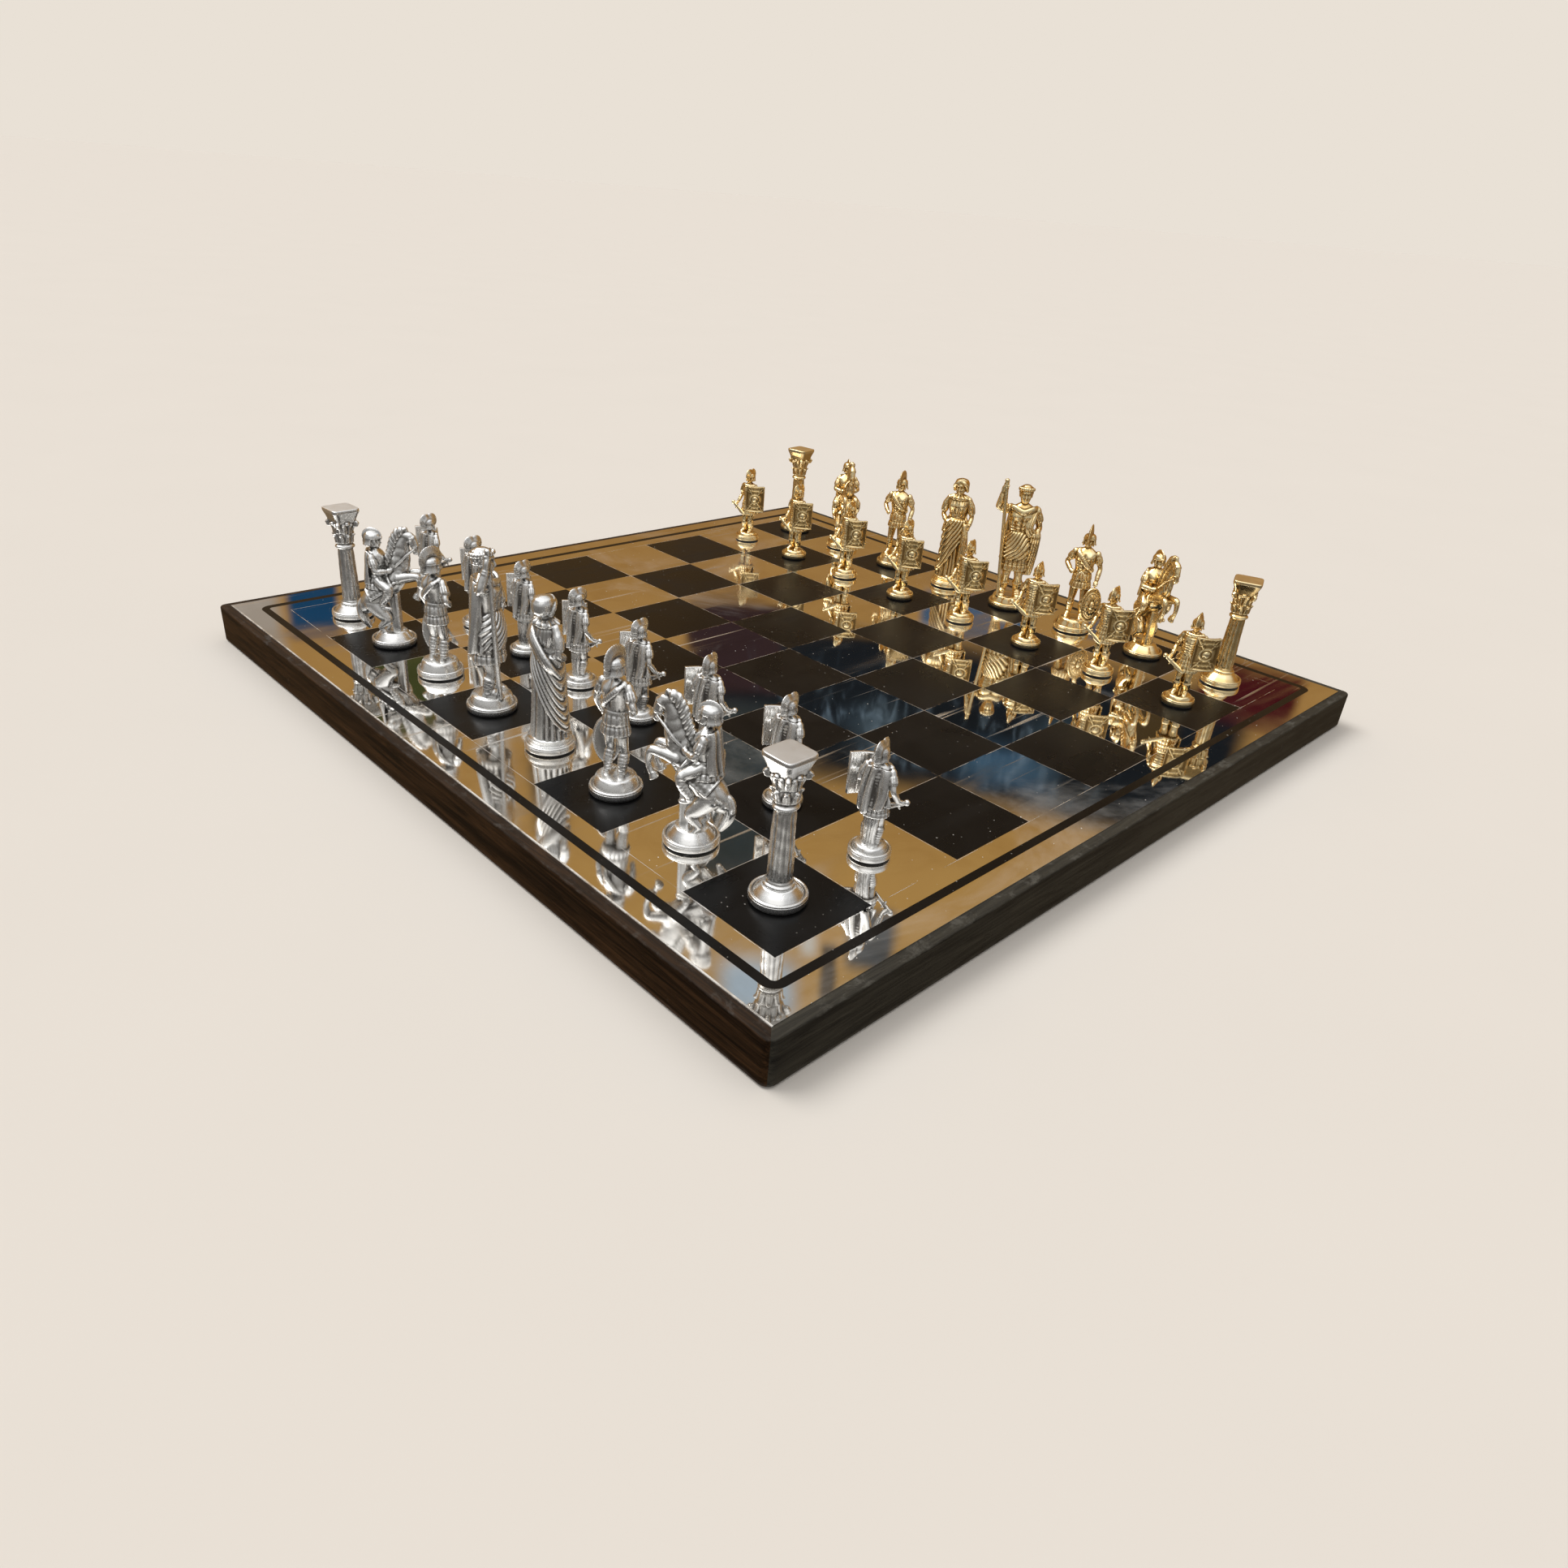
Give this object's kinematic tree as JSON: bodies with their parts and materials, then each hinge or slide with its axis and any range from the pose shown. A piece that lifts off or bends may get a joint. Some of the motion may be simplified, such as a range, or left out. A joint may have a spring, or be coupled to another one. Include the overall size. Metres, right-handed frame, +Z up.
{
  "type": "chess set with board",
  "caption": "Chess set in classical dress: silver and gold castings on felted turned feet, on a square wood-edged board with a mirror-polished sheet and black enamel squares.",
  "frame": {"origin": "on the board's resting face, under the middle of the board", "axes": "+Z up; the silver side sits along -Y and faces +Y, the gold side faces -Y; the files run from +X to -X"},
  "size_m": [0.44, 0.44, 0.0991],
  "materials": {
    "silver_casting": "satin",
    "gold_casting": "satin",
    "mirror_sheet": "polished",
    "black_enamel": "satin",
    "walnut": "satin",
    "core_board": "matte",
    "felt": "matte"
  },
  "bodies": {
    "board": {"base_felt": "felt", "board_core": "core_board", "rail_right": "walnut", "rail_back": "walnut", "rail_left": "walnut", "rail_front": "walnut", "mirror_plate": "mirror_sheet", "dark_squares": "black_enamel", "border_band": "black_enamel"},
    "gold_bishop_1": {"gold_bishop_1": "gold_casting", "gold_bishop_1_felt": "felt"},
    "gold_bishop_2": {"gold_bishop_2": "gold_casting", "gold_bishop_2_felt": "felt"},
    "gold_king": {"gold_king": "gold_casting", "gold_king_felt": "felt"},
    "gold_knight_1": {"gold_knight_1": "gold_casting", "gold_knight_1_felt": "felt"},
    "gold_knight_2": {"gold_knight_2": "gold_casting", "gold_knight_2_felt": "felt"},
    "gold_pawn_1": {"gold_pawn_1": "gold_casting"},
    "gold_pawn_2": {"gold_pawn_2": "gold_casting"},
    "gold_pawn_3": {"gold_pawn_3": "gold_casting"},
    "gold_pawn_4": {"gold_pawn_4": "gold_casting"},
    "gold_pawn_5": {"gold_pawn_5": "gold_casting"},
    "gold_pawn_6": {"gold_pawn_6": "gold_casting"},
    "gold_pawn_7": {"gold_pawn_7": "gold_casting"},
    "gold_pawn_8": {"gold_pawn_8": "gold_casting"},
    "gold_queen": {"gold_queen": "gold_casting", "gold_queen_felt": "felt"},
    "gold_rook_1": {"gold_rook_1": "gold_casting", "gold_rook_1_felt": "felt"},
    "gold_rook_2": {"gold_rook_2": "gold_casting", "gold_rook_2_felt": "felt"},
    "silver_bishop_1": {"silver_bishop_1": "silver_casting", "silver_bishop_1_felt": "felt"},
    "silver_bishop_2": {"silver_bishop_2": "silver_casting", "silver_bishop_2_felt": "felt"},
    "silver_king": {"silver_king": "silver_casting", "silver_king_felt": "felt"},
    "silver_knight_1": {"silver_knight_1": "silver_casting", "silver_knight_1_felt": "felt"},
    "silver_knight_2": {"silver_knight_2": "silver_casting", "silver_knight_2_felt": "felt"},
    "silver_pawn_1": {"silver_pawn_1": "silver_casting"},
    "silver_pawn_2": {"silver_pawn_2": "silver_casting"},
    "silver_pawn_3": {"silver_pawn_3": "silver_casting"},
    "silver_pawn_4": {"silver_pawn_4": "silver_casting"},
    "silver_pawn_5": {"silver_pawn_5": "silver_casting"},
    "silver_pawn_6": {"silver_pawn_6": "silver_casting"},
    "silver_pawn_7": {"silver_pawn_7": "silver_casting"},
    "silver_pawn_8": {"silver_pawn_8": "silver_casting"},
    "silver_queen": {"silver_queen": "silver_casting", "silver_queen_felt": "felt"},
    "silver_rook_1": {"silver_rook_1": "silver_casting", "silver_rook_1_felt": "felt"},
    "silver_rook_2": {"silver_rook_2": "silver_casting", "silver_rook_2_felt": "felt"}
  },
  "joints": [
    {"name": "gold_bishop_1_lift", "type": "slide", "parent": "board", "child": "gold_bishop_1", "axis": [0, 0, 1], "range_m": [0, 0.1]},
    {"name": "gold_bishop_2_lift", "type": "slide", "parent": "board", "child": "gold_bishop_2", "axis": [0, 0, 1], "range_m": [0, 0.1]},
    {"name": "gold_king_lift", "type": "slide", "parent": "board", "child": "gold_king", "axis": [0, 0, 1], "range_m": [0, 0.1]},
    {"name": "gold_knight_1_lift", "type": "slide", "parent": "board", "child": "gold_knight_1", "axis": [0, 0, 1], "range_m": [0, 0.1]},
    {"name": "gold_knight_2_lift", "type": "slide", "parent": "board", "child": "gold_knight_2", "axis": [0, 0, 1], "range_m": [0, 0.1]},
    {"name": "gold_pawn_1_lift", "type": "slide", "parent": "board", "child": "gold_pawn_1", "axis": [0, 0, 1], "range_m": [0, 0.1]},
    {"name": "gold_pawn_2_lift", "type": "slide", "parent": "board", "child": "gold_pawn_2", "axis": [0, 0, 1], "range_m": [0, 0.1]},
    {"name": "gold_pawn_3_lift", "type": "slide", "parent": "board", "child": "gold_pawn_3", "axis": [0, 0, 1], "range_m": [0, 0.1]},
    {"name": "gold_pawn_4_lift", "type": "slide", "parent": "board", "child": "gold_pawn_4", "axis": [0, 0, 1], "range_m": [0, 0.1]},
    {"name": "gold_pawn_5_lift", "type": "slide", "parent": "board", "child": "gold_pawn_5", "axis": [0, 0, 1], "range_m": [0, 0.1]},
    {"name": "gold_pawn_6_lift", "type": "slide", "parent": "board", "child": "gold_pawn_6", "axis": [0, 0, 1], "range_m": [0, 0.1]},
    {"name": "gold_pawn_7_lift", "type": "slide", "parent": "board", "child": "gold_pawn_7", "axis": [0, 0, 1], "range_m": [0, 0.1]},
    {"name": "gold_pawn_8_lift", "type": "slide", "parent": "board", "child": "gold_pawn_8", "axis": [0, 0, 1], "range_m": [0, 0.1]},
    {"name": "gold_queen_lift", "type": "slide", "parent": "board", "child": "gold_queen", "axis": [0, 0, 1], "range_m": [0, 0.1]},
    {"name": "gold_rook_1_lift", "type": "slide", "parent": "board", "child": "gold_rook_1", "axis": [0, 0, 1], "range_m": [0, 0.1]},
    {"name": "gold_rook_2_lift", "type": "slide", "parent": "board", "child": "gold_rook_2", "axis": [0, 0, 1], "range_m": [0, 0.1]},
    {"name": "silver_bishop_1_lift", "type": "slide", "parent": "board", "child": "silver_bishop_1", "axis": [0, 0, 1], "range_m": [0, 0.1]},
    {"name": "silver_bishop_2_lift", "type": "slide", "parent": "board", "child": "silver_bishop_2", "axis": [0, 0, 1], "range_m": [0, 0.1]},
    {"name": "silver_king_lift", "type": "slide", "parent": "board", "child": "silver_king", "axis": [0, 0, 1], "range_m": [0, 0.1]},
    {"name": "silver_knight_1_lift", "type": "slide", "parent": "board", "child": "silver_knight_1", "axis": [0, 0, 1], "range_m": [0, 0.1]},
    {"name": "silver_knight_2_lift", "type": "slide", "parent": "board", "child": "silver_knight_2", "axis": [0, 0, 1], "range_m": [0, 0.1]},
    {"name": "silver_pawn_1_lift", "type": "slide", "parent": "board", "child": "silver_pawn_1", "axis": [0, 0, 1], "range_m": [0, 0.1]},
    {"name": "silver_pawn_2_lift", "type": "slide", "parent": "board", "child": "silver_pawn_2", "axis": [0, 0, 1], "range_m": [0, 0.1]},
    {"name": "silver_pawn_3_lift", "type": "slide", "parent": "board", "child": "silver_pawn_3", "axis": [0, 0, 1], "range_m": [0, 0.1]},
    {"name": "silver_pawn_4_lift", "type": "slide", "parent": "board", "child": "silver_pawn_4", "axis": [0, 0, 1], "range_m": [0, 0.1]},
    {"name": "silver_pawn_5_lift", "type": "slide", "parent": "board", "child": "silver_pawn_5", "axis": [0, 0, 1], "range_m": [0, 0.1]},
    {"name": "silver_pawn_6_lift", "type": "slide", "parent": "board", "child": "silver_pawn_6", "axis": [0, 0, 1], "range_m": [0, 0.1]},
    {"name": "silver_pawn_7_lift", "type": "slide", "parent": "board", "child": "silver_pawn_7", "axis": [0, 0, 1], "range_m": [0, 0.1]},
    {"name": "silver_pawn_8_lift", "type": "slide", "parent": "board", "child": "silver_pawn_8", "axis": [0, 0, 1], "range_m": [0, 0.1]},
    {"name": "silver_queen_lift", "type": "slide", "parent": "board", "child": "silver_queen", "axis": [0, 0, 1], "range_m": [0, 0.1]},
    {"name": "silver_rook_1_lift", "type": "slide", "parent": "board", "child": "silver_rook_1", "axis": [0, 0, 1], "range_m": [0, 0.1]},
    {"name": "silver_rook_2_lift", "type": "slide", "parent": "board", "child": "silver_rook_2", "axis": [0, 0, 1], "range_m": [0, 0.1]}
  ]
}
